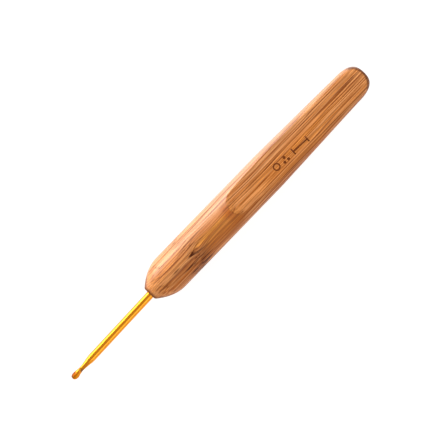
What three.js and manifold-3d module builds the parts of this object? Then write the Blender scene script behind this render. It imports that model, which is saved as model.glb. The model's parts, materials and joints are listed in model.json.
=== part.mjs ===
// Crochet hook: a gold-anodised aluminium rod glued into the bore of a carved bamboo handle.
// Millimetres, +Z up. X runs along the handle, from the hook's tip (-X) to the butt (+X).
// The part lies as it does on a table, on its round underside with the thumb flat facing up,
// and its origin is on the table under the middle of its box.

import * as THREE from "three";
import { mergeVertices } from "three/addons/utils/BufferGeometryUtils.js";
import Module from "manifold-3d";

const wasm = await Module();
wasm.setup();

// Handle, measured along its own axis from the nose, where the rod enters.
const HANDLE_LENGTH = 111.3;
const BULB_RADIUS = 7.35;
const NOSE_DISC_RADIUS = 2.65; // the small blunt face round the rod
const NOSE_LENGTH = 11.0; // from that face to the full radius
const TAPER_START = 61.6;
const TAPER_SLOPE = 0.029; // loss of radius for each millimetre of length
const BUTT_LENGTH = 9.3; // the rounded rear end
const BUTT_FULLNESS = 2.8; // exponent of its outline: 2 is an ellipse, more is squarer

// Thumb flat, cut into the top of the handle.
const FLAT_START = 47.9; // where the flat plane begins, behind its run-out
const FLAT_START_HEIGHT = 5.4; // above the handle's axis
const FLAT_END_HEIGHT = 3.2; // above the axis at the butt
const RUN_OUT_RADIUS = 12; // of the arc by which the flat climbs to the bulb

// Rod, measured along its own axis from the hook's tip.
const SHANK_RADIUS = 1.5; // a 3.0 mm hook
const ROD_EXPOSED = 41.4; // from the tip to the handle's nose
const TANG_LENGTH = 38; // hidden in the handle
const TANG_CHAMFER = 0.4;
const HEAD_LENGTH = 3.5;
const HEAD_RADIUS = 1.2;
const HEAD_BLUNTNESS = 2.6; // exponent of the head's outline: 2 is an ellipse, more is blunter
const LIP_HALF_WIDTH = 1.14; // of the egg-shaped swelling that forms the lip
const LIP_HALF_HEIGHT = 1.12;
const LIP_RISE = 0.36; // how far that swelling sits off the rod's axis
const NECK_RADIUS = 0.86;
const NECK_POSITION = 4.8;
const SHOULDER_END = 10.6; // where the neck has grown to the full shank

// Throat, cut into the head from the side that the lip faces.
const THROAT_LIP = 2.75; // where its front face meets the lip
const THROAT_ROOT = 4.1;
const THROAT_END = 8.6; // where its floor runs out
const THROAT_FLOOR = 0.12; // height of the root, from the rod's axis
const THROAT_ROOT_RADIUS = 0.3;

// Fit of the rod in the handle. The rod leans a little in plan, and the bore leans with it.
const ROD_CROSSING = 17.1; // behind the nose, where the two axes cross
const ROD_SKEW = THREE.MathUtils.degToRad(1.19);
const HOOK_ROLL = THREE.MathUtils.degToRad(32); // turns the throat from +Z towards -Y
const BORE_RADIUS = 1.7;
const BORE_DEPTH = TANG_LENGTH + 1.5;
const DRILL_POINT = 1.0; // height of the cone at the bore's blind end
const GLUE_OUTER_RADIUS = 1.66;
const GLUE_INNER_RADIUS = 1.54;
const GLUE_INSET = 0.4; // the glue stops short of the bore's mouth

// How finely the curves are cut into facets.
const HANDLE_SEGMENTS = 48;
const ROD_SEGMENTS = 36;
const LIP_SEGMENTS = [24, 16]; // round and along
const END_STEPS = 12; // along the handle's nose and along its butt
const HEAD_STEPS = 8; // along the head and along the neck
const SHOULDER_STEPS = 10;
const RUN_OUT_STEPS = 18;
const THROAT_STEPS = 6;

const CLEAR = 2; // how far a cutter runs past what it cuts
const WELD_DISTANCE = 1e-4;

// Turned round the X axis from (distance along X, radius) pairs that close on the axis.
function turned(outline, segments, startAngle = 0) {
  const points = outline.map(([along, radius]) => new THREE.Vector2(radius, along));
  const geometry = new THREE.LatheGeometry(points, segments, startAngle);
  geometry.rotateZ(-Math.PI / 2);
  return geometry;
}

// The same with the middle of a facet, not a corner, on each of the four sides, at the full radius.
// The handle then rests on a narrow facet.
function turnedOnFacets(outline, segments) {
  const halfFacet = Math.PI / segments;
  const outside = outline.map(([along, radius]) => [along, radius / Math.cos(halfFacet)]);
  return turned(outside, segments, halfFacet);
}

// A shape drawn in X and Z, given a width across Y and centred on it.
function acrossY(shape, width, curveSegments) {
  const geometry = new THREE.ExtrudeGeometry(shape, { depth: width, bevelEnabled: false, curveSegments });
  geometry.translate(0, 0, -width / 2);
  geometry.rotateX(Math.PI / 2);
  return geometry;
}

function toSolid(geometry) {
  const bare = geometry.clone();
  bare.deleteAttribute("normal");
  bare.deleteAttribute("uv");
  const welded = mergeVertices(bare, WELD_DISTANCE);
  const mesh = new wasm.Mesh({
    numProp: 3,
    vertProperties: new Float32Array(welded.attributes.position.array),
    triVerts: new Uint32Array(welded.index.array),
  });
  mesh.merge();
  return new wasm.Manifold(mesh);
}

function toGeometry(solid) {
  const mesh = solid.getMesh();
  const geometry = new THREE.BufferGeometry();
  geometry.setAttribute("position", new THREE.BufferAttribute(new Float32Array(mesh.vertProperties), 3));
  geometry.setIndex(new THREE.BufferAttribute(new Uint32Array(mesh.triVerts), 1));
  geometry.computeVertexNormals();
  return geometry;
}

// Points of a curve given as a function of 0..1, both ends included.
function sampled(steps, pointAt) {
  return Array.from({ length: steps + 1 }, (_, i) => pointAt(i / steps));
}

// The nose is a parabola that meets the bulb smoothly, and the butt is a full, squarish ellipse.
function handleOutline() {
  const nose = sampled(END_STEPS, (t) => [
    NOSE_LENGTH * t,
    BULB_RADIUS - (BULB_RADIUS - NOSE_DISC_RADIUS) * (1 - t) ** 2,
  ]);
  const buttStart = HANDLE_LENGTH - BUTT_LENGTH;
  const buttRadius = BULB_RADIUS - TAPER_SLOPE * (buttStart - TAPER_START);
  const butt = sampled(END_STEPS, (t) => {
    const angle = t * (Math.PI / 2);
    const along = buttStart + BUTT_LENGTH * Math.sin(angle) ** (2 / BUTT_FULLNESS);
    const radius = buttRadius * Math.max(0, Math.cos(angle)) ** (2 / BUTT_FULLNESS);
    return [along, t === 1 ? 0 : radius];
  });
  return [[0, 0], ...nose, [TAPER_START, BULB_RADIUS], ...butt];
}

// The stock that the thumb flat takes away: everything above a sloping plane and its run-out arc.
function flatCutter() {
  const slope = Math.atan((FLAT_START_HEIGHT - FLAT_END_HEIGHT) / (HANDLE_LENGTH - FLAT_START));
  const arcX = FLAT_START + RUN_OUT_RADIUS * Math.sin(slope);
  const arcZ = FLAT_START_HEIGHT + RUN_OUT_RADIUS * Math.cos(slope);
  const top = BULB_RADIUS + CLEAR;
  const topAngle = Math.PI - Math.asin((top - arcZ) / RUN_OUT_RADIUS);
  const rear = HANDLE_LENGTH + CLEAR;
  const shape = new THREE.Shape();
  shape.moveTo(rear, top);
  shape.lineTo(arcX + RUN_OUT_RADIUS * Math.cos(topAngle), top);
  shape.absarc(arcX, arcZ, RUN_OUT_RADIUS, topAngle, 1.5 * Math.PI - slope, false);
  shape.lineTo(rear, FLAT_START_HEIGHT - Math.tan(slope) * (rear - FLAT_START));
  return acrossY(shape, 2 * (BULB_RADIUS + CLEAR), RUN_OUT_STEPS);
}

// Puts something made along the rod's own axis, from the tip, into the handle's frame.
function alongRod(object, roll = 0) {
  const reach = ROD_EXPOSED + ROD_CROSSING;
  object.rotation.set(roll, 0, ROD_SKEW, "ZYX");
  object.position.set(
    ROD_CROSSING - reach * Math.cos(ROD_SKEW),
    -reach * Math.sin(ROD_SKEW),
    0,
  );
  object.updateMatrix();
  return object;
}

function boreCutter() {
  const mouth = ROD_EXPOSED - CLEAR;
  const blind = ROD_EXPOSED + BORE_DEPTH;
  const drill = turned(
    [
      [mouth, 0],
      [mouth, BORE_RADIUS],
      [blind, BORE_RADIUS],
      [blind + DRILL_POINT, 0],
    ],
    ROD_SEGMENTS,
  );
  return drill.applyMatrix4(alongRod(new THREE.Object3D()).matrix);
}

function handleGeometry() {
  const blank = toSolid(turnedOnFacets(handleOutline(), HANDLE_SEGMENTS));
  return toGeometry(blank.subtract(toSolid(flatCutter())).subtract(toSolid(boreCutter())));
}

function smoothStep(t) {
  return t * t * (3 - 2 * t);
}

// The rod turned all round: blunt nose, head, slim neck, long shoulder, shank and tang.
function rodOutline() {
  const widest = HEAD_LENGTH / 2;
  const nose = sampled(HEAD_STEPS, (t) => {
    const angle = t * (Math.PI / 2);
    const radius = HEAD_RADIUS * Math.sin(angle) ** (2 / HEAD_BLUNTNESS);
    return [widest - widest * Math.max(0, Math.cos(angle)) ** (2 / HEAD_BLUNTNESS), radius];
  });
  const neck = sampled(HEAD_STEPS, (t) => [
    widest + t * (NECK_POSITION - widest),
    HEAD_RADIUS + smoothStep(t) * (NECK_RADIUS - HEAD_RADIUS),
  ]);
  const shoulder = sampled(SHOULDER_STEPS, (t) => [
    NECK_POSITION + t * (SHOULDER_END - NECK_POSITION),
    NECK_RADIUS + smoothStep(t) * (SHANK_RADIUS - NECK_RADIUS),
  ]);
  const end = ROD_EXPOSED + TANG_LENGTH;
  const tang = [
    [end - TANG_CHAMFER, SHANK_RADIUS],
    [end, SHANK_RADIUS - TANG_CHAMFER],
    [end, 0],
  ];
  return [...nose, ...neck.slice(1), ...shoulder.slice(1), ...tang];
}

// The swelling of the head on the throat's side, which leaves the lip once the throat is cut.
function lipGeometry() {
  const lip = new THREE.SphereGeometry(1, ...LIP_SEGMENTS);
  lip.scale(HEAD_LENGTH / 2, LIP_HALF_WIDTH, LIP_HALF_HEIGHT);
  lip.translate(HEAD_LENGTH / 2, 0, LIP_RISE);
  return lip;
}

// A slanted front face, a rounded root and a long floor that climbs back to the shoulder.
function throatCutter() {
  const top = SHANK_RADIUS + CLEAR;
  const lipHeight = SHANK_RADIUS;
  const rise = (lipHeight - THROAT_FLOOR) / (THROAT_ROOT - THROAT_LIP);
  const floorRise = (lipHeight - THROAT_FLOOR) / (THROAT_END - THROAT_ROOT);
  const shape = new THREE.Shape();
  shape.moveTo(THROAT_END + (top - lipHeight) / floorRise, top);
  shape.lineTo(THROAT_LIP - (top - lipHeight) / rise, top);
  shape.lineTo(THROAT_ROOT - THROAT_ROOT_RADIUS, THROAT_FLOOR + rise * THROAT_ROOT_RADIUS);
  shape.quadraticCurveTo(
    THROAT_ROOT,
    THROAT_FLOOR,
    THROAT_ROOT + THROAT_ROOT_RADIUS,
    THROAT_FLOOR + floorRise * THROAT_ROOT_RADIUS,
  );
  return acrossY(shape, 2 * (SHANK_RADIUS + CLEAR), THROAT_STEPS);
}

function hookGeometry() {
  const rod = toSolid(turned(rodOutline(), ROD_SEGMENTS));
  return toGeometry(rod.add(toSolid(lipGeometry())).subtract(toSolid(throatCutter())));
}

// A thin tube round the tang, open at both ends.
function glueGeometry() {
  const front = ROD_EXPOSED + GLUE_INSET;
  const rear = ROD_EXPOSED + TANG_LENGTH - TANG_CHAMFER;
  return turned(
    [
      [front, GLUE_INNER_RADIUS],
      [front, GLUE_OUTER_RADIUS],
      [rear, GLUE_OUTER_RADIUS],
      [rear, GLUE_INNER_RADIUS],
      [front, GLUE_INNER_RADIUS],
    ],
    ROD_SEGMENTS,
  );
}

function piece(name, geometry, color, roughness, metalness) {
  const mesh = new THREE.Mesh(geometry, new THREE.MeshStandardMaterial({ color, roughness, metalness }));
  mesh.name = name;
  return mesh;
}

function crochetHook() {
  const handle = piece("bamboo_handle", handleGeometry(), 0xc98a4e, 0.45, 0);
  const hook = alongRod(piece("aluminium_hook", hookGeometry(), 0xf0a818, 0.28, 1), HOOK_ROLL);
  const glue = alongRod(piece("adhesive_sleeve", glueGeometry(), 0xd8cfa8, 0.35, 0));
  const part = new THREE.Group();
  part.add(handle, hook, glue);
  const box = new THREE.Box3().setFromObject(part, true);
  const middle = box.getCenter(new THREE.Vector3());
  part.position.set(-middle.x, -middle.y, -box.min.z);
  return part;
}

export default crochetHook();
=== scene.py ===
import json
import math

import bpy
import numpy as np
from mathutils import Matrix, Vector


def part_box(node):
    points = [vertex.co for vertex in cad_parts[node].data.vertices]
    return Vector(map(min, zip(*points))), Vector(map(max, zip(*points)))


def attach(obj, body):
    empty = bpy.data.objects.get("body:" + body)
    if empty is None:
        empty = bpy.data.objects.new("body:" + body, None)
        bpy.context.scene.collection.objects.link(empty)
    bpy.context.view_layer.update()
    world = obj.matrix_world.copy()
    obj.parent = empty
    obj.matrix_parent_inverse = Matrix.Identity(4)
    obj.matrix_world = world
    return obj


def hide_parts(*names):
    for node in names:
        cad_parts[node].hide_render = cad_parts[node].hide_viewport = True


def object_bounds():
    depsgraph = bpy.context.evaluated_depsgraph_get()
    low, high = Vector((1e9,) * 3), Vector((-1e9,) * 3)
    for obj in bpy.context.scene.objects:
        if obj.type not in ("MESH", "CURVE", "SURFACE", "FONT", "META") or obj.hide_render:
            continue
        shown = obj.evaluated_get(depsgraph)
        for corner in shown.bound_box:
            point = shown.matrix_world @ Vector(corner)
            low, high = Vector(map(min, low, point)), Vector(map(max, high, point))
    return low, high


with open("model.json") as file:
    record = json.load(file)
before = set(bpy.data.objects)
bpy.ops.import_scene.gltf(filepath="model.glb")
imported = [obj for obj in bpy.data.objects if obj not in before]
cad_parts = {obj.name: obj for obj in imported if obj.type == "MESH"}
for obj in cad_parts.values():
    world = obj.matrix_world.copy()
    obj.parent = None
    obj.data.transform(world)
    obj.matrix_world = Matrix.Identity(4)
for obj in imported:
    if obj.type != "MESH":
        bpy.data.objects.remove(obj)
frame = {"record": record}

cad_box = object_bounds()
MM = 0.001

# ---------------------------------------------------------------- places, from the frame

handle_low, handle_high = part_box("bamboo_handle")
HANDLE_LENGTH = handle_high.x - handle_low.x
BULB_RADIUS = (handle_high.y - handle_low.y) / 2
NOSE = Vector((handle_low.x, (handle_low.y + handle_high.y) / 2, handle_low.z + BULB_RADIUS))

thumb_flat = next(m for m in frame["record"]["mounts"] if m["name"] == "thumb_flat")
FLAT_POINT = Vector(thumb_flat["pos_m"]) - NOSE
FLAT_NORMAL = Vector(thumb_flat["axis"]).normalized()
FLAT_SLOPE = math.atan2(FLAT_NORMAL.x, FLAT_NORMAL.z)

# ---------------------------------------------------------------- driving dimensions

# The handle, from its nose.
NOSE_DISC_RADIUS = 2.65 * MM
NOSE_LENGTH = 11.0 * MM
NOSE_EDGE = 0.45 * MM  # how far the nose disc's edge is rounded back
TAPER_START = 61.6 * MM
TAPER_SLOPE = 0.029
BUTT_LENGTH = 9.3 * MM
BUTT_FULLNESS = 2.8  # exponent of its outline: 2 is an ellipse, more is squarer
FLAT_START = 47.9 * MM
RUN_OUT_RADIUS = 12 * MM
FLAT_EDGE_START = 0.16 * MM  # how softly the flat's edge is rounded, where the flat starts
FLAT_EDGE_MIDDLE = 0.6 * MM
FLAT_EDGE_BUTT = 1.1 * MM
FLAT_EDGE_BAND = 0.25 * MM  # depth over which the skin changes from round to flat
BORE_RADIUS = 1.7 * MM
BORE_DEPTH = 39.5 * MM
DRILL_POINT = 1.0 * MM
MOUTH_CHAMFER = 0.12 * MM

# The rod, from the hook's tip, with its throat facing +Z until it is rolled.
SHANK_RADIUS = 1.5 * MM
ROD_EXPOSED = 41.4 * MM
TANG_LENGTH = 38 * MM
TANG_CHAMFER = 0.4 * MM
HEAD_LENGTH = 3.5 * MM
HEAD_RADIUS = 1.2 * MM
HEAD_BLUNTNESS = 2.6  # exponent of its outline, as the butt's
LIP_HALF_WIDTH = 1.14 * MM
LIP_HALF_HEIGHT = 1.12 * MM
LIP_RISE = 0.36 * MM
LIP_BLEND = 0.12 * MM
NECK_RADIUS = 0.86 * MM
NECK_POSITION = 4.8 * MM
SHOULDER_END = 10.6 * MM
THROAT_LIP = 2.75 * MM
THROAT_ROOT = 4.1 * MM
THROAT_END = 8.6 * MM
THROAT_FLOOR = 0.12 * MM  # height of its root over the rod's axis
THROAT_ROOT_BLEND = 0.25 * MM
THROAT_EDGE_BLEND = 0.14 * MM

# How the rod sits in the handle.
ROD_CROSSING = 17.1 * MM  # behind the nose, where the two axes cross
ROD_SKEW = math.radians(1.19)
HOOK_ROLL = math.radians(32)

# How finely the meshes are cut.
HANDLE_SIDES = 224
NOSE_RINGS = 64
BUTT_RINGS = 72
HANDLE_RING_SPACING = 0.34 * MM
ROD_SIDES = 96
HEAD_RINGS = 34
THROAT_RING_SPACING = 0.05 * MM
SHOULDER_RING_SPACING = 0.2 * MM
SHANK_RINGS = 40
GLUE_SIDES = 72
FAR = 1.0  # a reach that is past every surface of the object
RAY_DIP = 0.32 * MM  # how far under the rod's axis its rays start, at the throat's root
RAY_DIP_SPREAD = 1.3 * MM


# ---------------------------------------------------------------- small tools

def smooth_min(a, b, width):
    """The smaller of two arrays, with the corner where they cross rounded over width."""
    reach = np.maximum(width - np.abs(a - b), 0.0)
    return np.minimum(a, b) - reach * reach / (4 * width)


def smooth_max(a, b, width):
    return -smooth_min(-a, -b, width)


def ramp(value, start, end):
    """0 up to start, 1 from end on, and smooth between. It falls where end is the smaller of the two."""
    t = np.clip((value - start) / (end - start), 0.0, 1.0)
    return t * t * (3 - 2 * t)


def hill(value, centre, spread):
    """A bell curve of height 1."""
    return np.exp(-(((value - centre) / spread) ** 2))


def angles_round(count):
    return np.linspace(0, 2 * math.pi, count, endpoint=False)


def ring_points(x, y, z, radius, angle):
    """A ring across X round the centre y, z. Its angles are measured from +Z towards +Y."""
    across = y + radius * np.sin(angle)
    up = z + radius * np.cos(angle)
    return np.column_stack([np.full(len(angle), x), across, up])


def plane_reach(height, angle):
    """How far rays at these angles go before they meet a level plane at this height over their start."""
    facing = np.cos(angle)
    meets = facing > 1e-3
    return np.where(meets, height / np.where(meets, facing, 1.0), FAR)


def band_faces(rings, count, first, closed):
    """Quads between rings of count points each. A closed run joins its last ring to its first."""
    faces = []
    for i in range(rings if closed else rings - 1):
        start = first + i * count
        after = first + (i + 1) % rings * count
        for j in range(count):
            k = (j + 1) % count
            faces.append((start + j, start + k, after + k, after + j))
    return faces


def capped_faces(rings, count):
    """The faces of a body whose points are one end, rings of count points each, and the other end."""
    faces = band_faces(rings, count, first=1, closed=False)
    last = 1 + rings * count
    for j in range(count):
        k = (j + 1) % count
        faces.append((0, 1 + k, 1 + j))
        faces.append((last, last - count + j, last - count + k))
    return faces


def new_piece(name, vertices, faces, material, smooth=True):
    mesh = bpy.data.meshes.new(name)
    mesh.from_pydata([tuple(v) for v in vertices], [], faces)
    mesh.update()
    mesh.polygons.foreach_set("use_smooth", [smooth] * len(mesh.polygons))
    mesh.materials.append(material)
    piece = bpy.data.objects.new(name, mesh)
    bpy.context.scene.collection.objects.link(piece)
    return piece


def add_vector_attribute(piece, name, values):
    attribute = piece.data.attributes.new(name, "FLOAT_VECTOR", "POINT")
    attribute.data.foreach_set("vector", np.asarray(values, np.float32).ravel())


def along_rod(points):
    """Moves points from the rod's frame, which starts at its tip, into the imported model's frame."""
    cos = math.cos(ROD_SKEW)
    sin = math.sin(ROD_SKEW)
    reach = ROD_EXPOSED + ROD_CROSSING
    x = NOSE.x + ROD_CROSSING - reach * cos + points[:, 0] * cos - points[:, 1] * sin
    y = NOSE.y - reach * sin + points[:, 0] * sin + points[:, 1] * cos
    return np.column_stack([x, y, NOSE.z + points[:, 2]])


def rolled(points):
    """Turns points about the rod's axis, so that what faced +Z faces the throat's side."""
    cos = math.cos(HOOK_ROLL)
    sin = math.sin(HOOK_ROLL)
    y = points[:, 1] * cos - points[:, 2] * sin
    z = points[:, 1] * sin + points[:, 2] * cos
    return np.column_stack([points[:, 0], y, z])


# ---------------------------------------------------------------- material nodes

class Nodes:
    """Short calls that add nodes to one material and wire them up.

    Wherever a value is asked for, it is a number, a colour, or another node's output."""

    def __init__(self, name):
        self.material = bpy.data.materials.new(name)
        self.material.use_nodes = True
        self.tree = self.material.node_tree
        self.shader = self.tree.nodes["Principled BSDF"]

    def feed(self, value, socket):
        if isinstance(value, bpy.types.NodeSocket):
            self.tree.links.new(value, socket)
        else:
            socket.default_value = value

    def shade(self, name, value):
        """Gives the shader's own socket its value."""
        self.feed(value, self.shader.inputs[name])

    def attribute(self, name):
        node = self.tree.nodes.new("ShaderNodeAttribute")
        node.attribute_name = name
        return node.outputs["Vector"]

    def math(self, operation, a, b=0.0, c=0.0, clamp=False):
        node = self.tree.nodes.new("ShaderNodeMath")
        node.operation = operation
        node.use_clamp = clamp
        for value, socket in zip((a, b, c), node.inputs):
            self.feed(value, socket)
        return node.outputs[0]

    def plus(self, a, b):
        return self.math("ADD", a, b)

    def minus(self, a, b):
        return self.math("SUBTRACT", a, b)

    def times(self, a, b):
        return self.math("MULTIPLY", a, b)

    def times_plus(self, a, factor, offset):
        return self.math("MULTIPLY_ADD", a, factor, offset)

    def larger(self, a, b):
        return self.math("MAXIMUM", a, b)

    def magnitude(self, a):
        return self.math("ABSOLUTE", a)

    def between(self, share, a, b):
        """The value that lies this share of the way from a to b."""
        return self.times_plus(self.minus(b, a), share, a)

    def bell(self, value, centre, spread):
        """A bell curve of height 1."""
        offset = self.math("DIVIDE", self.minus(value, centre), spread)
        return self.math("EXPONENT", self.times(self.times(offset, offset), -1.0))

    def scaled(self, vector, factors):
        node = self.tree.nodes.new("ShaderNodeVectorMath")
        node.operation = "MULTIPLY"
        self.feed(vector, node.inputs[0])
        self.feed(factors, node.inputs[1])
        return node.outputs[0]

    def combine(self, x, y, z):
        node = self.tree.nodes.new("ShaderNodeCombineXYZ")
        for value, socket in zip((x, y, z), node.inputs):
            self.feed(value, socket)
        return node.outputs[0]

    def separate(self, vector):
        node = self.tree.nodes.new("ShaderNodeSeparateXYZ")
        self.feed(vector, node.inputs[0])
        return node.outputs

    def noise(self, vector, detail, roughness=0.5):
        node = self.tree.nodes.new("ShaderNodeTexNoise")
        self.feed(vector, node.inputs["Vector"])
        self.feed(1.0, node.inputs["Scale"])
        self.feed(detail, node.inputs["Detail"])
        self.feed(roughness, node.inputs["Roughness"])
        return node.outputs["Fac"]

    def cells(self, vector):
        """The distance to the middle of a random cell, and a random number for each cell."""
        node = self.tree.nodes.new("ShaderNodeTexVoronoi")
        self.feed(vector, node.inputs["Vector"])
        self.feed(1.0, node.inputs["Scale"])
        return node.outputs["Distance"], self.separate(node.outputs["Color"])[0]

    def remap(self, value, low, high, to_low=0.0, to_high=1.0):
        """Goes smoothly from to_low, where the value is low, to to_high, where it is high."""
        node = self.tree.nodes.new("ShaderNodeMapRange")
        node.interpolation_type = "SMOOTHSTEP"
        for number, socket in zip((value, low, high, to_low, to_high), node.inputs):
            self.feed(number, socket)
        return node.outputs[0]

    def mix(self, share, a, b):
        """The colour that lies this share of the way from a to b."""
        node = self.tree.nodes.new("ShaderNodeMix")
        node.data_type = "RGBA"
        self.feed(share, node.inputs[0])
        self.feed(a, node.inputs[6])
        self.feed(b, node.inputs[7])
        return node.outputs[2]

    def bump(self, height, strength, distance):
        node = self.tree.nodes.new("ShaderNodeBump")
        self.feed(strength, node.inputs["Strength"])
        self.feed(distance, node.inputs["Distance"])
        self.feed(height, node.inputs["Height"])
        return node.outputs[0]


def colour(red, green, blue):
    """A display colour from 0 to 255 as the linear value that a shader takes."""
    linear = [
        c / 12.92 if c <= 0.04045 else ((c + 0.055) / 1.055) ** 2.4
        for c in (red / 255, green / 255, blue / 255)
    ]
    return (*linear, 1.0)


# ---------------------------------------------------------------- bamboo: colours and fibres

# Display colours.
BAMBOO_WARM = (255, 160, 72)
BAMBOO_PALE = (255, 178, 112)
BAMBOO_GOLDEN = (248, 160, 34)
BAMBOO_CARVED = (252, 166, 92)
BAMBOO_AMBER = (214, 112, 6)
BAMBOO_DEEP = (196, 102, 24)
# Painted shade, laid over the handle's -Y side, away from the key lamp.
BAMBOO_PAINTED_SHADE = (172, 88, 18)
BAMBOO_DARK = (120, 52, 2)
BAMBOO_SCAR = (86, 34, 2)
BAMBOO_END = (176, 92, 32)
# Browner end grain, with painted shade low on both ends.
BAMBOO_RIM_AND_SHADE = (94, 44, 18)
CHAR_DARK = (98, 44, 8)
CHAR_LIGHT = (134, 68, 20)

# Noises that follow the fibres. Along and across are their scales for each mm, and spot is where in
# the endless noise each one starts.
HAIRS = dict(along=0.10, across=6.0, spot=0.0, detail=3.0, roughness=0.6)
STRANDS = dict(along=0.020, across=1.6, spot=5.0, roughness=0.55)
TONES = dict(along=0.014, across=0.30, spot=9.0)
SEAMS = dict(along=0.012, across=0.70, spot=13.0)
FINE_LINES = dict(along=0.020, across=1.45, spot=21.0)
LINE_BREAKS = dict(along=0.07, across=1.1, spot=3.0)
PALE_LINES = dict(along=0.018, across=1.30, spot=45.0)
BUNDLE_LEAN = dict(along=0.016, across=0.42, spot=17.0)
BUNDLE_PATCHES = dict(along=0.045, across=0.75, spot=27.0)
BUNDLE_ENDS = dict(along=0.015, across=1.25, spot=0.0)
LONG_TEETH = dict(along=0.02, across=0.62, spot=31.0)
SHORT_TEETH = dict(along=0.04, across=2.5, spot=37.0)
RAGS = dict(along=0.12, across=2.3, spot=2.0, detail=2.0, roughness=0.60)

SWAY_SCALES = (0.03, 0.10, 0.10)  # of the fibres' slow wandering, for each mm
SIDE_SPOT = 40.0  # how far the noises on the sides start from those on top
FIBRE_LAYERING = 0.22  # how much a noise changes with depth, against its change across
BUNDLE_SPACING = 1.12  # of the fibre bundles, in mm
BUNDLE_SWAY = 3.4  # how many bundles' widths a bundle may lean aside
TEETH_REACH = 13.0  # mm that the noise of the teeth spans along the handle
LONG_FIBRE_WIDTH = 0.20  # half of it, in mm
LONG_FIBRE_FADE = 3.0  # length of its faint ends, in mm
COAT_WEIGHT = 1.0  # of the lacquer on sound wood

# The culm's node, on the bulb. All places are in mm: x from the nose, and round the handle from the
# middle of the thumb flat, + towards +Y.
NODE_RING = 20.5
# Its scars on top: x, place round, half length, half width and depth of colour.
NODE_SCARS = [
    (20.8, -1.0, 1.4, 0.30, 1.0),
    (12.6, -1.3, 1.5, 0.36, 0.55),
    (17.2, -4.1, 2.2, 0.32, 1.0),
    (19.2, -4.9, 1.8, 0.24, 0.8),
    (21.2, -3.0, 0.9, 0.32, 0.8),
    (22.0, -3.8, 1.3, 0.30, 0.9),
    (24.0, -3.5, 2.4, 0.20, 0.7),
    (24.2, -4.6, 2.6, 0.28, 0.9),
    (22.8, -5.5, 2.2, 0.30, 0.9),
    (18.0, -7.1, 2.0, 0.42, 1.0),
    (21.2, -6.6, 1.8, 0.34, 0.9),
    (23.4, -7.4, 2.6, 0.52, 0.9),
    (19.6, -8.9, 3.0, 0.60, 0.9),
    (19.2, -2.4, 1.4, 0.22, 0.6),
    (23.6, -2.0, 1.8, 0.20, 0.5),
    (22.8, 1.5, 1.8, 0.28, 0.55),
    (20.6, 2.7, 1.4, 0.24, 0.40),
    (22.2, 4.4, 1.8, 0.30, 0.35),
]
# The scars round the rest of it: where they start and end, and their half width.
RING_SCARS_START = 7.6
RING_SCARS_END = -9.0
RING_SCAR_HALF_WIDTH = 0.36
# Forks of dark fibres that open behind a scar: x, place round, length, spread and depth.
NODE_FORKS = [
    (21.0, -1.0, 8.0, 1.9, 0.75),
    (22.4, 1.9, 4.5, 1.0, 0.40),
    (21.4, -5.4, 5.0, 1.1, 0.50),
]
FORK_ARM_WIDTH = 0.24
# Eyes where the fibres part round a scar: x, place round, half length, half width and strength.
NODE_EYES = [
    (24.9, -0.5, 3.6, 2.0, 0.80),
    (24.5, 3.4, 2.4, 1.2, 0.55),
    (16.2, -2.6, 2.6, 1.1, 0.55),
]
# Long dark fibres on the top: x and y at the front end, x and y at the rear end, and depth.
LONG_FIBRES = [
    (59.8, 1.32, 109.0, 1.90, 0.75),
    (1.8, -2.1, 19.0, -2.4, 0.80),
    (2.4, 1.5, 18.0, 1.0, 0.60),
    (2.0, 2.9, 19.0, 3.6, 0.40),
    (53.0, -4.2, 84.0, -4.5, 0.55),
    (84.0, 4.2, 108.0, 3.4, 0.65),
    (86.0, -3.4, 109.0, -2.9, 0.50),
]


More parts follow.
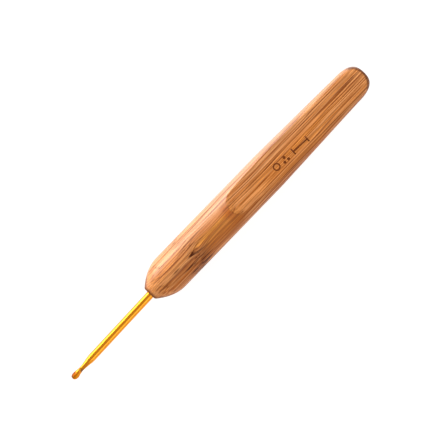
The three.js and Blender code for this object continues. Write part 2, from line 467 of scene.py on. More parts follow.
class BambooNodes(Nodes):
    """Carved bamboo, with its fibres at their true places in the wood.

    The grain attribute is the place in the culm in millimetres. Fibres run along its X, so a cut along
    them shows streaks, a slanting cut shows drawn-out arches, and a cut across shows dots."""

    def __init__(self):
        super().__init__("carbonised_bamboo")
        grain = self.attribute("grain")
        self.x, self.y, self.z = self.separate(grain)
        self.golden, self.carved, self.rim_and_shade = self.separate(self.attribute("zones"))
        self.scar, self.amber, self.cut = self.separate(self.attribute("marks"))
        self.ring, self.edge, self.flat = self.separate(self.attribute("ring"))

        sway = self.minus(self.noise(self.scaled(grain, SWAY_SCALES), detail=1.0), 0.5)
        self.flow_y = self.plus(self.y, sway)
        self.flow_z = self.plus(self.z, sway)
        # Patterns are laid in Y on top and below, and in Z on the sides, so that they keep their scale
        # all the way round.
        steepness = self.math("DIVIDE", self.magnitude(self.y), self.larger(self.magnitude(self.z), 0.1))
        self.on_side = self.remap(steepness, 1.6, 3.2)

        self.hair = self.fibre_noise(**HAIRS)
        self.bundle = self.bundles()
        self.lines = self.dark_lines()
        self.torn = self.torn_fibres()
        self.cut_across = self.remap(self.cut, 0.45, 0.98)

    def place(self, along, across, spot, side=False):
        """Where in a noise a point of the wood lies."""
        wide, deep = (self.flow_z, self.flow_y) if side else (self.flow_y, self.flow_z)
        return self.combine(
            self.times_plus(self.x, along, spot),
            self.times_plus(wide, across, spot + SIDE_SPOT if side else spot),
            self.times(deep, across * FIBRE_LAYERING),
        )

    def fibre_noise(self, along, across, spot, detail=1.0, roughness=0.5):
        top = self.noise(self.place(along, across, spot), detail, roughness)
        side = self.noise(self.place(along, across, spot, side=True), detail, roughness)
        return self.between(self.on_side, top, side)

    def contour(self, pattern, width):
        """Thin lines where a noise passes through its middle value."""
        return self.remap(self.magnitude(self.minus(pattern, 0.5)), 0.0, width, 1.0, 0.0)

    def bundles(self):
        """Fibre bundles lie side by side, nearly evenly spaced, and drift in and out of the cut."""
        rows = []
        for wide, side in ((self.flow_y, False), (self.flow_z, True)):
            lean = self.noise(self.place(**BUNDLE_LEAN, side=side), detail=1.0)
            phase = self.times_plus(lean, BUNDLE_SWAY, self.times(wide, 1 / BUNDLE_SPACING))
            wave = self.math("SINE", self.times(phase, 2 * math.pi))
            rows.append(self.remap(wave, 0.0, 0.85))
        bundle = self.between(self.on_side, *rows)
        patches = self.remap(self.fibre_noise(**BUNDLE_PATCHES), 0.36, 0.58, 0.20, 1.0)
        behind_nose = self.remap(self.x, 12.0, 20.0, 0.45, 1.0)
        return self.times(self.times(bundle, patches), behind_nose)

    def dark_lines(self):
        """Long seams, and finer lines that break off."""
        seams = self.contour(self.fibre_noise(**SEAMS), 0.022)
        fine = self.contour(self.fibre_noise(**FINE_LINES), 0.11)
        unbroken = self.remap(self.fibre_noise(**LINE_BREAKS), 0.38, 0.58)
        fine = self.times(fine, self.times_plus(unbroken, 0.55, 0.05))
        return self.larger(self.times(seams, 0.85), fine)

    def pale_lines(self):
        """Fine light lines, which hardly show in the golden and the amber wood."""
        pale = self.contour(self.fibre_noise(**PALE_LINES), 0.10)
        strength = self.remap(self.larger(self.golden, self.amber), 0.2, 0.9, 0.50, 0.08)
        return self.times(pale, strength)

    def teeth(self, pattern):
        """How far single fibres push a line across the handle forwards or back, in mm."""
        return self.times(self.minus(self.fibre_noise(**pattern), 0.5), TEETH_REACH)

    def torn_fibres(self):
        """The node ring, a jagged dark line whose fibres are drawn out behind it, and its scars."""
        jag = self.plus(self.teeth(LONG_TEETH), self.teeth(SHORT_TEETH))
        behind = self.minus(self.minus(self.x, NODE_RING), jag)
        drawn_out = self.remap(behind, 0.3, 5.0, 1.0, 0.0)
        jagged = self.times(self.remap(behind, -0.5, 0.3), drawn_out)
        ragged = self.remap(self.fibre_noise(**RAGS), 0.40, 0.54, 0.0, 1.4)
        jagged = self.times(jagged, self.times(self.ring, ragged))
        strokes = self.times(self.scar, self.times_plus(ragged, 0.60, 0.60))
        return self.math("MAXIMUM", strokes, self.times(jagged, 0.85), clamp=True)

    def long_fibre(self, start_x, start_y, end_x, end_y, depth):
        """One dark fibre that runs straight along the top."""
        slope = (end_y - start_y) / (end_x - start_x)
        middle = self.times_plus(self.minus(self.x, start_x), slope, start_y)
        line = self.bell(self.y, middle, LONG_FIBRE_WIDTH)
        starts = self.remap(self.x, start_x, start_x + LONG_FIBRE_FADE)
        stops = self.remap(self.x, end_x - LONG_FIBRE_FADE, end_x, 1.0, 0.0)
        on_top = self.remap(self.z, 0.0, 1.0, 0.0, depth)
        return self.times(self.times(line, self.times(starts, stops)), on_top)

    def bundle_ends(self):
        """Dots where the bundles are cut across."""
        distance, random = self.cells(self.place(**BUNDLE_ENDS))
        dots = self.times(self.remap(distance, 0.10, 0.30, 1.0, 0.0), self.remap(random, 0.3, 0.9))
        return self.times(dots, self.times_plus(self.cut_across, 0.35, 0.04))

    def base_colour(self):
        """Warm and pale wood, with each row's colour laid over it by the share that the row gives."""
        tone = self.noise(self.place(**TONES), detail=1.0)
        base = self.mix(self.remap(tone, 0.36, 0.64), colour(*BAMBOO_WARM), colour(*BAMBOO_PALE))
        bundle_depth = self.times_plus(self.golden, -0.35, 0.80)
        rows = [
            (self.times(self.golden, 0.75), BAMBOO_GOLDEN),
            (self.times(self.carved, 0.75), BAMBOO_CARVED),
            (self.times(self.amber, 0.95), BAMBOO_AMBER),
            # Painted shade: the wood gets darker towards the -Y side.
            (self.remap(self.y, -6.6, -3.0, 1.0, 0.0), BAMBOO_PAINTED_SHADE),
            (self.remap(self.fibre_noise(**STRANDS), 0.40, 0.56, 0.68, 0.0), BAMBOO_DEEP),
            (self.times(self.bundle, bundle_depth), BAMBOO_DARK),
            (self.remap(self.hair, 0.38, 0.60, 0.45, 0.0), BAMBOO_DARK),
            (self.times(self.lines, 0.85), BAMBOO_DARK),
            (self.times(self.edge, 0.85), BAMBOO_DARK),
            (self.pale_lines(), BAMBOO_PALE),
            *((self.long_fibre(*fibre), BAMBOO_DARK) for fibre in LONG_FIBRES),
            (self.torn, BAMBOO_SCAR),
            (self.bundle_ends(), BAMBOO_DARK),
            (self.times(self.cut_across, 0.35), BAMBOO_END),
            # Browner end grain at both ends, and painted shade low down on them.
            (self.times(self.rim_and_shade, 0.85), BAMBOO_RIM_AND_SHADE),
        ]
        for share, tint in rows:
            base = self.mix(share, base, colour(*tint))
        return base

    def height(self):
        """Fine hairs stand up a little, and dark lines and scars are grooves."""
        groove = self.larger(self.times(self.lines, 0.7), self.torn)
        return self.minus(self.times(self.hair, 0.5), groove)

    def roughness(self):
        """Carved wood and end grain are the roughest."""
        rough = self.remap(self.hair, 0.3, 0.7, 0.36, 0.48)
        return self.times_plus(self.larger(self.cut_across, self.carved), 0.14, rough)

    def lacquer(self):
        """It is thin over scars, rims, dark fibres and the flat, and worn on -Y, where fingers close."""
        bare = self.larger(self.torn, self.rim_and_shade)
        gloss = self.remap(bare, 0.0, 1.0, COAT_WEIGHT, 0.05 * COAT_WEIGHT)
        gloss = self.times(gloss, self.remap(self.y, -4.0, 2.5, 0.12, 1.0))
        gloss = self.times(gloss, self.remap(self.flat, 0.0, 1.0, 1.0, 0.30))
        return self.times(gloss, self.remap(self.larger(self.bundle, self.lines), 0.0, 1.0, 1.0, 0.55))

    def haze(self):
        """A pale bloom on the +Y side of the handle's middle, which hardly shows on the flat."""
        haze = self.times(self.remap(self.y, -1.0, 4.0), self.remap(self.x, 20.0, 50.0, 0.05, 0.80))
        haze = self.times(haze, self.remap(self.x, 72.0, 92.0, 1.0, 0.35))
        return self.times(haze, self.remap(self.flat, 0.0, 1.0, 1.0, 0.10))


def bamboo_material():
    bamboo = BambooNodes()
    bamboo.shade("Base Color", bamboo.base_colour())
    bamboo.shade("Roughness", bamboo.roughness())
    bamboo.shade("Normal", bamboo.bump(bamboo.height(), strength=0.35, distance=0.1 * MM))
    bamboo.shade("Coat Weight", bamboo.lacquer())
    bamboo.shade("Coat Roughness", 0.42)
    bamboo.shade("Coat IOR", 1.6)
    bamboo.shade("Sheen Weight", bamboo.haze())
    bamboo.shade("Sheen Roughness", 0.5)
    bamboo.shade("Specular IOR Level", 0.1)
    return bamboo.material


# ---------------------------------------------------------------- bamboo: what each point is like

def aside_from(place, around):
    """How far points lie from a place round the handle, in mm, going the shorter way."""
    whole = 2 * math.pi * BULB_RADIUS / MM
    return (around - place + whole / 2) % whole - whole / 2


def ring_scars():
    """The scars on top, and more of them, unevenly spaced, round the rest of the node ring."""
    scars = list(NODE_SCARS)
    whole = 2 * math.pi * BULB_RADIUS / MM
    place = RING_SCARS_START
    i = 0
    while place < whole + RING_SCARS_END:
        scar_x = NODE_RING - 1.2 + 1.9 * math.sin(2.4 * i)
        half_length = 1.3 + 0.6 * math.sin(4.1 * i)
        depth = 0.65 + 0.25 * math.sin(3.3 * i)
        scars.append((scar_x, place, half_length, RING_SCAR_HALF_WIDTH, depth))
        place += 1.55 + 0.35 * math.sin(5.2 * i)
        i += 1
    return scars


def fork_arms(x, around, fork_x, place, length, spread, depth):
    """Two dark fibres that leave a scar together and open out behind it."""
    beyond = np.maximum(x - fork_x, 0)
    opening = spread * (1 - np.exp(-2.2 * beyond / length))
    arms = hill(np.abs(aside_from(place, around)), opening, FORK_ARM_WIDTH)
    starts = ramp(x, fork_x - 0.8, fork_x)
    stops = ramp(beyond, 1.3 * length, 0.3 * length)
    return depth * arms * starts * stops


def node_marks(x, around):
    """How dark the node's scars are, and how far in mm the fibres part round them."""
    scar = np.zeros(len(x))
    shift = np.zeros(len(x))
    for scar_x, place, half_length, half_width, depth in ring_scars():
        aside = aside_from(place, around)
        scar = np.maximum(scar, depth * hill(x, scar_x, half_length) * hill(aside, 0, half_width))
        # Fibres part most a little behind the scar's middle.
        wake = hill(x, scar_x + 1.3 * half_length, 1.6 * half_length) * hill(aside, 0, 2.6 * half_width)
        shift -= 0.45 * depth * aside * wake
    for fork in NODE_FORKS:
        scar = np.maximum(scar, fork_arms(x, around, *fork))
    for eye_x, place, half_length, half_width, strength in NODE_EYES:
        aside = aside_from(place, around)
        shift -= strength * aside * hill(x, eye_x, half_length) * hill(aside, 0, half_width)
    return scar, shift


def colour_zones(x, y, z, on_flat):
    """Golden wood behind the node, amber before the flat and in a band along the bulb's -Y side, and
    carved wood at the flat's front."""
    top = ramp(z, 0, 3)
    golden = (0.30 + 0.70 * ramp(x, 21, 29)) * ramp(x, 47, 42) * hill(y, -2.0, 4.6) * top
    before_flat = ramp(x, 36, 41) * hill(y, -0.3, 4.6)
    amber = np.maximum(before_flat, 0.45 * hill(y, -2.8, 1.7)) * top * (1 - on_flat) * ramp(x, 46, 43)
    carved = on_flat * ramp(x, 60, 48)
    return golden, amber, carved


def rims_and_painted_shade(x, z, cut):
    """Browner end grain at the edge of both ends, and painted shade low down on them, where the skin
    turns across.
    """
    from_butt = HANDLE_LENGTH / MM - x
    front_half = x < from_butt
    edges = np.maximum(ramp(x, 1.5, 0.2), 0.9 * ramp(from_butt, 1.2, 0.1))
    # Painted shade: the lower part of each end is darkened.
    nose_skirt = 0.75 * ramp(cut, 0.30, 0.60) * ramp(z, 3.0, 1.4) * front_half
    butt_skirt = 0.90 * ramp(cut, 0.15, 0.45) * ramp(z, 4.6, 3.0) * ~front_half
    return np.maximum(edges, np.maximum(nose_skirt, butt_skirt))


def add_bamboo_attributes(piece, points, on_flat):
    """Stores where each point of the handle lies in the culm, what the wood is like there, and where
    shade is painted low on its ends.
    """
    x, y, z = (points / MM).T
    turn = np.arctan2(y, z)
    around = turn * BULB_RADIUS / MM
    scar, shift = node_marks(x, around)
    grain_turn = turn + shift / (BULB_RADIUS / MM)
    radius = np.hypot(y, z)
    grain = np.column_stack([x, radius * np.sin(grain_turn), radius * np.cos(grain_turn)])
    add_vector_attribute(piece, "grain", grain)

    normals = np.zeros(len(points) * 3, np.float32)
    piece.data.vertices.foreach_get("normal", normals)
    cut = np.abs(normals.reshape(-1, 3)[:, 0])
    golden, amber, carved = colour_zones(x, y, z, on_flat)
    add_vector_attribute(piece, "zones", np.column_stack([golden, carved, rims_and_painted_shade(x, z, cut)]))
    add_vector_attribute(piece, "marks", np.column_stack([scar, amber, cut]))

    # The node ring shows most on the side away from +Y. The flat's front edge is a thin dark line.
    ring = 0.30 + 0.90 * ramp(around, 1.4, -2.1)
    edge = 4 * on_flat * (1 - on_flat) * ramp(x, 56, 48) * ramp(np.abs(around), 6, 1)
    add_vector_attribute(piece, "ring", np.column_stack([ring, edge, on_flat]))


# ---------------------------------------------------------------- handle

def handle_radius(x):
    """Radius of the turned blank at distance x from the nose."""
    butt_start = HANDLE_LENGTH - BUTT_LENGTH
    nose_share = max(1 - x / NOSE_LENGTH, 0)
    edge_drop = 1 - math.sqrt(1 - max(1 - x / NOSE_EDGE, 0) ** 2)
    nose = BULB_RADIUS - (BULB_RADIUS - NOSE_DISC_RADIUS) * nose_share ** 2 - 0.5 * NOSE_EDGE * edge_drop
    taper = BULB_RADIUS - TAPER_SLOPE * (min(max(x, TAPER_START), butt_start) - TAPER_START)
    butt_share = min(max((x - butt_start) / BUTT_LENGTH, 0), 1)
    butt = (1 - butt_share ** BUTT_FULLNESS) ** (1 / BUTT_FULLNESS)
    return min(nose, taper) * butt


def flat_height(x):
    """Height above the handle's axis of the thumb flat or, before it, of its run-out arc."""
    if x >= FLAT_START:
        return FLAT_POINT.z - (x - FLAT_POINT.x) * math.tan(FLAT_SLOPE)
    start_height = FLAT_POINT.z - (FLAT_START - FLAT_POINT.x) * math.tan(FLAT_SLOPE)
    arc_x = FLAT_START + RUN_OUT_RADIUS * math.sin(FLAT_SLOPE)
    arc_z = start_height + RUN_OUT_RADIUS * math.cos(FLAT_SLOPE)
    offset = arc_x - x
    steepest = 0.99 * RUN_OUT_RADIUS
    arc = arc_z - math.sqrt(RUN_OUT_RADIUS ** 2 - min(offset, steepest) ** 2)
    # Past its steepest point the cut goes on up, clear of the bulb.
    return max(arc, arc_z + offset - RUN_OUT_RADIUS) if offset > steepest else arc


def handle_stations():
    """Distances from the nose, close together at both ends."""
    nose = NOSE_LENGTH * (1 - np.cos(np.linspace(0.03, math.pi / 2, NOSE_RINGS)))
    body = np.arange(NOSE_LENGTH + 0.3 * MM, HANDLE_LENGTH - BUTT_LENGTH, HANDLE_RING_SPACING)
    angles = np.linspace(0, math.pi / 2, BUTT_RINGS)[:-1]
    butt = HANDLE_LENGTH - BUTT_LENGTH + BUTT_LENGTH * np.sin(angles) ** (2 / BUTT_FULLNESS)
    return np.concatenate([nose, body, butt])


def rod_centre(x):
    """How far aside of the handle's axis the leaning rod's axis is, at distance x from the nose."""
    return (x - ROD_CROSSING) * math.tan(ROD_SKEW)


def bore_rings(angle):
    """The bore, from its drill point out to its mouth, and the blunt disc of the nose round it."""
    outline = [(share * BORE_DEPTH, BORE_RADIUS) for share in (1.0, 0.7, 0.4, 0.15)]
    outline += [(5 * MOUTH_CHAMFER, BORE_RADIUS), (MOUTH_CHAMFER, BORE_RADIUS)]
    outline += [(MOUTH_CHAMFER / 4, BORE_RADIUS + MOUTH_CHAMFER / 3), (0.0, BORE_RADIUS + MOUTH_CHAMFER)]
    rings = [ring_points(x, rod_centre(x), 0.0, radius, angle) for x, radius in outline]
    disc_edge = ring_points(0.0, 0.0, 0.0, NOSE_DISC_RADIUS - 0.5 * NOSE_EDGE, angle)
    return [*rings, 0.5 * (rings[-1] + disc_edge), disc_edge]


def skin_ring(x, angle):
    """The handle's skin at distance x from the nose, and how far each point belongs to the flat."""
    turned = np.full(len(angle), handle_radius(x))
    flat = plane_reach(flat_height(x), angle)
    places = [FLAT_START, 0.7 * HANDLE_LENGTH, HANDLE_LENGTH]
    softness = np.interp(x, places, [FLAT_EDGE_START, FLAT_EDGE_MIDDLE, FLAT_EDGE_BUTT])
    on_flat = ramp(turned - flat, -FLAT_EDGE_BAND / 2, FLAT_EDGE_BAND / 2)
    return ring_points(x, 0.0, 0.0, smooth_min(turned, flat, softness), angle), on_flat


def make_handle():
    angle = angles_round(HANDLE_SIDES)
    bore = bore_rings(angle)
    skin, flatness = zip(*(skin_ring(x, angle) for x in handle_stations()))
    rings = [*bore, *skin]
    drill_tip = [[BORE_DEPTH + DRILL_POINT, rod_centre(BORE_DEPTH), 0.0]]
    butt_tip = [[HANDLE_LENGTH, 0.0, 0.0]]
    points = np.concatenate([drill_tip, *rings, butt_tip])
    faces = capped_faces(len(rings), HANDLE_SIDES)
    piece = new_piece("handle_bamboo", points + np.array(NOSE), faces, bamboo_material())
    on_flat = np.concatenate([np.zeros(1 + len(bore) * HANDLE_SIDES), *flatness, np.zeros(1)])
    add_bamboo_attributes(piece, points, on_flat)
    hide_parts("bamboo_handle")
    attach(piece, "root")


# ---------------------------------------------------------------- burnt size mark

MARK_X = 64.4 * MM  # its start on the thumb flat
MARK_Y = -1.15 * MM
MARK_TURN = math.radians(-3.1)
MARK_LIFT = 0.012 * MM  # of a stroke's middle over the wood
MARK_SINK = 0.03 * MM  # of its edges into the wood
# The strokes' own sizes are in mm, from the mark's start.
MARK_HALF_WIDTH = 0.30
MARK_RING_X = 0.3
PIP_RADIUS = 0.62
PIPS = [(3.6, -0.75), (5.4, -0.75), (4.5, 0.75)]
GAUGE_START = 8.4
GAUGE_END = 15.2
GAUGE_STOP = 1.3  # half the height of its end stops
# Across a stroke, from edge to edge: place as a share of its half width, and height over the wood.
STROKE_PROFILE = [
    (-1.0, -MARK_SINK),
    (-0.8, 0.7 * MARK_LIFT),
    (0.0, MARK_LIFT),
    (0.8, 0.7 * MARK_LIFT),
    (1.0, -MARK_SINK),
]


def burnt_material():
    """Wood charred by a hot stamp: long fibres still show faintly through the burn."""
    nodes = Nodes("burnt_bamboo")
    grain = nodes.attribute("grain")
    char = nodes.noise(nodes.scaled(grain, (1.2, 7.0, 7.0)), detail=3.0)
    pits = nodes.noise(nodes.scaled(grain, (9.0, 9.0, 9.0)), detail=2.0)
    burnt = nodes.mix(nodes.remap(char, 0.35, 0.7), colour(*CHAR_DARK), colour(*CHAR_LIGHT))
    nodes.shade("Base Color", burnt)
    nodes.shade("Roughness", nodes.remap(char, 0.3, 0.7, 0.6, 0.85))
    nodes.shade("Normal", nodes.bump(pits, strength=0.3, distance=0.05 * MM))
    nodes.shade("Specular IOR Level", 0.15)
    return nodes.material


def circle(x, y, radius, steps):
    return [(x + radius * math.cos(a), y + radius * math.sin(a)) for a in angles_round(steps)]


def mark_strokes():
    """A generic size mark: a ring of the shank's own size, three pips and a gauge line.

    Each stroke is its points, half its width, and whether it closes on itself."""
    ring = circle(MARK_RING_X, 0.0, SHANK_RADIUS / MM - MARK_HALF_WIDTH, 40)
    strokes = [(ring, MARK_HALF_WIDTH, True)]
    for pip_x, pip_y in PIPS:
        strokes.append((circle(pip_x, pip_y, PIP_RADIUS / 2, 16), PIP_RADIUS / 2, True))
    strokes.append(([(GAUGE_START, 0.0), (GAUGE_END, 0.0)], MARK_HALF_WIDTH, False))
    for stop_x in (GAUGE_START, GAUGE_END):
        strokes.append(([(stop_x, -GAUGE_STOP), (stop_x, GAUGE_STOP)], MARK_HALF_WIDTH, False))
    return strokes


def stroke_ribbon(line, half_width, closed, first):
    """A low ribbon along a line on the flat: its points, and its faces counted from first."""
    if closed:
        direction = np.roll(line, -1, axis=0) - np.roll(line, 1, axis=0)
    else:
        direction = np.gradient(line, axis=0)
    direction /= np.linalg.norm(direction, axis=1)[:, None]
    aside = np.column_stack([-direction[:, 1], direction[:, 0]])
    points = []
    for point, across in zip(line, aside):
        for share, rise in STROKE_PROFILE:
            x, y = point + across * half_width * share
            points.append((x, y, FLAT_POINT.z - (x - FLAT_POINT.x) * math.tan(FLAT_SLOPE) + rise))
    count = len(STROKE_PROFILE)
    faces = band_faces(len(line), count, first, closed)
    if not closed:
        faces.append(tuple(first + j for j in reversed(range(count))))
        faces.append(tuple(first + (len(line) - 1) * count + j for j in range(count)))
    return points, faces


def make_size_mark():
    """Thin charred ribbons lying on the thumb flat."""
    cos = math.cos(MARK_TURN)
    sin = math.sin(MARK_TURN)
    points = []
    faces = []
    for stroke, half_width, closed in mark_strokes():
        u, v = (np.array(stroke) * MM).T
        line = np.column_stack([MARK_X + u * cos - v * sin, MARK_Y + u * sin + v * cos])
        ribbon_points, ribbon_faces = stroke_ribbon(line, half_width * MM, closed, len(points))
        points += ribbon_points
        faces += ribbon_faces
    piece = new_piece("size_mark_burn", np.array(points) + np.array(NOSE), faces, burnt_material())
    add_vector_attribute(piece, "grain", np.array(points) / MM)
    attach(piece, "root")


# ---------------------------------------------------------------- gold rod

GOLD = (250, 162, 14)
GOLD_CLOUDS = (242, 150, 8)
GOLD_LINES = (226, 128, 6)
# Painted light and painted shade for the hook's head.
HEAD_PAINTED_LIT = (226, 138, 14)
HEAD_PAINTED_SHADE = (132, 58, 0)
# Painted shade for the throat's root.
THROAT_PAINTED_SHADE = (112, 56, 2)
# Scales of its noises for each mm along and across the rod.
DRAWING_LINES = (0.25, 9.0, 9.0)
CLOUDS = (0.5, 0.8, 0.8)
RUBBING = (1.6, 2.6, 2.6)
THROAT_SHADE_X = THROAT_ROOT / MM + 0.25
THROAT_SHADE_SPREAD = 0.70


def gold_colour(nodes, drawn, lines, head):
    """Clouded gold with darker drawing lines. The head is deeper, with painted shade on its +Y side and
    painted light on its -Y side, and the throat's root is darkest, with painted shade.
    """
    along, aside, height = nodes.separate(drawn)
    clouds = nodes.noise(nodes.scaled(drawn, CLOUDS), detail=2.0)
    tint = nodes.mix(nodes.remap(clouds, 0.3, 0.7), colour(*GOLD), colour(*GOLD_CLOUDS))
    tint = nodes.mix(nodes.remap(lines, 0.35, 0.7, 0.0, 0.35), tint, colour(*GOLD_LINES))
    # How far a point is towards +Y once the rod is rolled into place.
    turned_aside = nodes.times(aside, math.cos(HOOK_ROLL))
    lean = nodes.times_plus(height, -math.sin(HOOK_ROLL), turned_aside)
    # Painted shade on the head's +Y side, painted light on its -Y side.
    head_painted_light_and_shade = nodes.mix(nodes.remap(lean, -0.7, 0.7), colour(*HEAD_PAINTED_LIT), colour(*HEAD_PAINTED_SHADE))
    tint = nodes.mix(nodes.times(head, 0.90), tint, head_painted_light_and_shade)
    # Painted shade in the throat's root, on its side away from +Y.
    throat = nodes.bell(along, THROAT_SHADE_X, THROAT_SHADE_SPREAD)
    throat = nodes.times(throat, nodes.remap(lean, -0.35, 0.10, 1.0, 0.0))
    throat = nodes.times(throat, nodes.remap(height, -0.45, 0.0))
    return nodes.mix(nodes.times(throat, 0.85), tint, colour(*THROAT_PAINTED_SHADE))


def gold_material():
    """Gold-anodised metal with fine drawing lines along it, and a head that yarn has rubbed dull and
    whose colour carries painted light and shade.
    """
    nodes = Nodes("gold_anodised_aluminium")
    drawn = nodes.attribute("drawn")
    lines = nodes.noise(nodes.scaled(drawn, DRAWING_LINES), detail=3.0, roughness=0.6)
    rubbed = nodes.noise(nodes.scaled(drawn, RUBBING), detail=3.0)
    head = nodes.remap(nodes.separate(drawn)[0], 2.0, 3.4, 1.0, 0.0)
    rough = nodes.plus(nodes.remap(lines, 0.3, 0.7, 0.20, 0.32), nodes.remap(rubbed, 0.5, 0.8, 0.0, 0.08))
    nodes.shade("Base Color", gold_colour(nodes, drawn, lines, head))
    nodes.shade("Metallic", 1.0)
    nodes.shade("Roughness", nodes.times_plus(head, 0.26, rough))
    nodes.shade("Normal", nodes.bump(lines, strength=0.15, distance=0.02 * MM))
    nodes.shade("Coat Weight", nodes.remap(head, 0.0, 1.0, 0.50, 0.15))
    nodes.shade("Coat Roughness", 0.13)
    return nodes.material


def rod_radius(s):
    """Radius of the turned rod at distance s from the tip."""
    widest = HEAD_LENGTH / 2
    if s < widest:
        return HEAD_RADIUS * (1 - ((widest - s) / widest) ** HEAD_BLUNTNESS) ** (1 / HEAD_BLUNTNESS)
    if s < NECK_POSITION:
        return HEAD_RADIUS + ramp(s, widest, NECK_POSITION) * (NECK_RADIUS - HEAD_RADIUS)
    shoulder = NECK_RADIUS + ramp(s, NECK_POSITION, SHOULDER_END) * (SHANK_RADIUS - NECK_RADIUS)
    chamfer_start = ROD_EXPOSED + TANG_LENGTH - TANG_CHAMFER
    return min(shoulder, SHANK_RADIUS - max(s - chamfer_start, 0))


def throat_height(s):
    """Height of the throat's cut over the rod's axis: a slanted front face and a long climbing floor."""
    rise = SHANK_RADIUS - THROAT_FLOOR
    front = THROAT_FLOOR + (THROAT_ROOT - s) * rise / (THROAT_ROOT - THROAT_LIP)
    floor = THROAT_FLOOR + (s - THROAT_ROOT) * rise / (THROAT_END - THROAT_ROOT)
    return smooth_max(front, floor, THROAT_ROOT_BLEND)


def lip_reach(s, ray_start, angle):
    """How far rays go inside the egg-shaped swelling that forms the lip, and 0 where they miss it."""
    share = 1 - ((s - HEAD_LENGTH / 2) / (HEAD_LENGTH / 2)) ** 2
    if share <= 0.0:
        return np.zeros(len(angle))
    half_width = LIP_HALF_WIDTH * math.sqrt(share)
    half_height = LIP_HALF_HEIGHT * math.sqrt(share)
    below = ray_start - LIP_RISE
    # A ray meets the swelling's ellipse where a * reach ** 2 + b * reach + c = 0.
    a = (np.sin(angle) / half_width) ** 2 + (np.cos(angle) / half_height) ** 2
    b = 2 * np.cos(angle) * below / half_height ** 2
    c = (below / half_height) ** 2 - 1
    inside = b * b - 4 * a * c
    return np.where(inside > 0, (-b + np.sqrt(np.maximum(inside, 0))) / (2 * a), 0.0)


def hook_ring(s, angle):
    """The hook's skin at distance s from the tip."""
    radius = rod_radius(s)
    # Where the throat is cut down to the rod's axis, rays from the axis itself would run along the cut.
    ray_start = max(-RAY_DIP * hill(s, THROAT_ROOT, RAY_DIP_SPREAD), -0.5 * radius)
    turned = -ray_start * np.cos(angle) + np.sqrt(radius ** 2 - (ray_start * np.sin(angle)) ** 2)
    swollen = smooth_max(turned, lip_reach(s, ray_start, angle), LIP_BLEND)
    throat = plane_reach(throat_height(s) - ray_start, angle)
    return ring_points(s, 0.0, ray_start, smooth_min(swollen, throat, THROAT_EDGE_BLEND), angle)


def hook_stations():
    """Distances from the tip, close together over the head and the throat."""
    widest = HEAD_LENGTH / 2
    end = ROD_EXPOSED + TANG_LENGTH
    return np.concatenate([
        widest * (1 - np.cos(np.linspace(0.06, math.pi / 2, HEAD_RINGS))),
        np.arange(widest + THROAT_RING_SPACING, THROAT_END + 0.5 * MM, THROAT_RING_SPACING),
        np.arange(THROAT_END + 0.6 * MM, SHOULDER_END + 1 * MM, SHOULDER_RING_SPACING),
        np.linspace(SHOULDER_END + 2 * MM, end - TANG_CHAMFER, SHANK_RINGS),
        [end - 0.05 * MM],
    ])


def make_hook():
    angle = angles_round(ROD_SIDES)
    rings = [hook_ring(s, angle) for s in hook_stations()]
    tip = [[0.0, 0.0, 0.0]]
    tang_end = [[ROD_EXPOSED + TANG_LENGTH, 0.0, 0.0]]
    points = np.concatenate([tip, *rings, tang_end])
    faces = capped_faces(len(rings), ROD_SIDES)
    piece = new_piece("hook_rod", along_rod(rolled(points)), faces, gold_material())
    add_vector_attribute(piece, "drawn", points / MM)
    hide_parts("aluminium_hook")
    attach(piece, "root")


# ---------------------------------------------------------------- glue

GLUE_DARK = (120, 72, 30)
GLUE_LIGHT = (150, 96, 44)
GLUE_GAP = 0.01 * MM  # between the glue and the metal or the wood
GLUE_INSET = 0.03 * MM  # behind the nose
MENISCUS_DEPTH = 0.16 * MM


def glue_material():
    """Set glue, faintly mottled."""
    nodes = Nodes("clear_adhesive")
    spots = nodes.noise(nodes.scaled(nodes.attribute("drawn"), (3, 3, 3)), detail=2.0)
    tint = nodes.mix(nodes.remap(spots, 0.3, 0.7), colour(*GLUE_DARK), colour(*GLUE_LIGHT))
    nodes.shade("Base Color", tint)
    nodes.shade("Roughness", nodes.remap(spots, 0.3, 0.7, 0.18, 0.35))
    nodes.shade("Normal", nodes.bump(spots, strength=0.2, distance=0.03 * MM))
    return nodes.material


def make_glue():
    """The set glue round the tang, with a hollow meniscus at the bore's mouth."""
    inner = SHANK_RADIUS + GLUE_GAP
    outer = BORE_RADIUS - GLUE_GAP
    front = ROD_EXPOSED + GLUE_INSET
    rear = ROD_EXPOSED + TANG_LENGTH - TANG_CHAMFER
    meniscus = [
        (front + MENISCUS_DEPTH * math.sin(a), inner + (outer - inner) * (1 - math.cos(a)) / 2)
        for a in np.linspace(0, math.pi, 7)
    ]
    profile = [*meniscus, (rear, outer), (rear, inner)]
    angle = angles_round(GLUE_SIDES)
    points = np.concatenate([ring_points(s, 0.0, 0.0, radius, angle) for s, radius in profile])
    faces = band_faces(len(profile), GLUE_SIDES, first=0, closed=True)
    piece = new_piece("glue_sleeve", along_rod(points), faces, glue_material())
    add_vector_attribute(piece, "drawn", points / MM)
    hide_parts("adhesive_sleeve")
    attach(piece, "root")


# ---------------------------------------------------------------- floor, lights and camera

WHITE = (1, 1, 1, 1)
FLOOR_GREY = (0.3, 0.3, 0.3, 1)
FLOOR_GLOW = 0.84  # makes the floor nearly white whatever light falls on it
FLOOR_REACH = 4.0
WORLD_STRENGTH = 0.52
# Each lamp's place from the object's middle, its width and height, and its power in watts.
LAMPS = {
    "key": ((-0.10, 0.75, 0.21), (0.9, 0.39), 8.1),
    "fill": ((0.10, -0.62, 0.62), (0.9, 0.6), 2.2),
}
PICTURE_WIDTH = 159.0 * MM  # what the camera sees at the handle's axis
CAMERA_HEIGHT = 0.9  # over the handle's axis
CAMERA_AIM_X = 36.8 * MM  # from the nose
CAMERA_AIM_Y = 0.25 * MM
CAMERA_ROLL = math.radians(-46.0)
SENSOR_WIDTH = 36.0


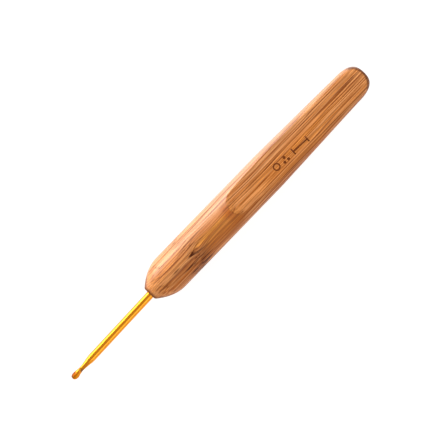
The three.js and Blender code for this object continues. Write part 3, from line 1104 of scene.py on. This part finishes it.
def make_floor():
    nodes = Nodes("pale_floor")
    nodes.shade("Base Color", FLOOR_GREY)
    nodes.shade("Roughness", 0.9)
    nodes.shade("Specular IOR Level", 0.1)
    nodes.shade("Emission Color", WHITE)
    nodes.shade("Emission Strength", FLOOR_GLOW)
    corners = [(x * FLOOR_REACH, y * FLOOR_REACH, 0) for x, y in ((-1, -1), (1, -1), (1, 1), (-1, 1))]
    floor = new_piece("floor", corners, [(0, 1, 2, 3)], nodes.material, smooth=False)
    floor.location.z = cad_box[0].z


def make_lamp(name, place, target, size, power):
    lamp = bpy.data.lights.new(name, "AREA")
    lamp.shape = "RECTANGLE"
    lamp.size, lamp.size_y = size
    lamp.energy = power
    holder = bpy.data.objects.new(name, lamp)
    holder.location = place
    holder.rotation_euler = (target - place).to_track_quat("-Z", "Y").to_euler()
    bpy.context.scene.collection.objects.link(holder)


def make_lights():
    """A low key lamp on +Y, a weak fill lamp on -Y, and an even white surround."""
    centre = (cad_box[0] + cad_box[1]) / 2
    for name, (offset, size, power) in LAMPS.items():
        make_lamp(name, centre + Vector(offset), centre, size, power)
    world = bpy.data.worlds.new("studio")
    world.use_nodes = True
    background = world.node_tree.nodes["Background"]
    background.inputs["Color"].default_value = WHITE
    background.inputs["Strength"].default_value = WORLD_STRENGTH
    bpy.context.scene.world = world
    bpy.context.scene.view_settings.view_transform = "Standard"


def make_camera():
    """Straight down on the thumb flat, rolled so that the handle runs up to the right."""
    camera = bpy.data.cameras.new("photo_camera")
    camera.sensor_width = SENSOR_WIDTH
    camera.lens = SENSOR_WIDTH * CAMERA_HEIGHT / PICTURE_WIDTH
    camera.clip_start = 0.01
    camera.clip_end = 20
    holder = bpy.data.objects.new("photo_camera", camera)
    holder.location = NOSE + Vector((CAMERA_AIM_X, CAMERA_AIM_Y, CAMERA_HEIGHT))
    holder.rotation_euler = (0, 0, CAMERA_ROLL)
    bpy.context.scene.collection.objects.link(holder)
    bpy.context.scene.camera = holder


make_handle()
make_size_mark()
make_hook()
make_glue()
make_floor()
make_lights()
make_camera()
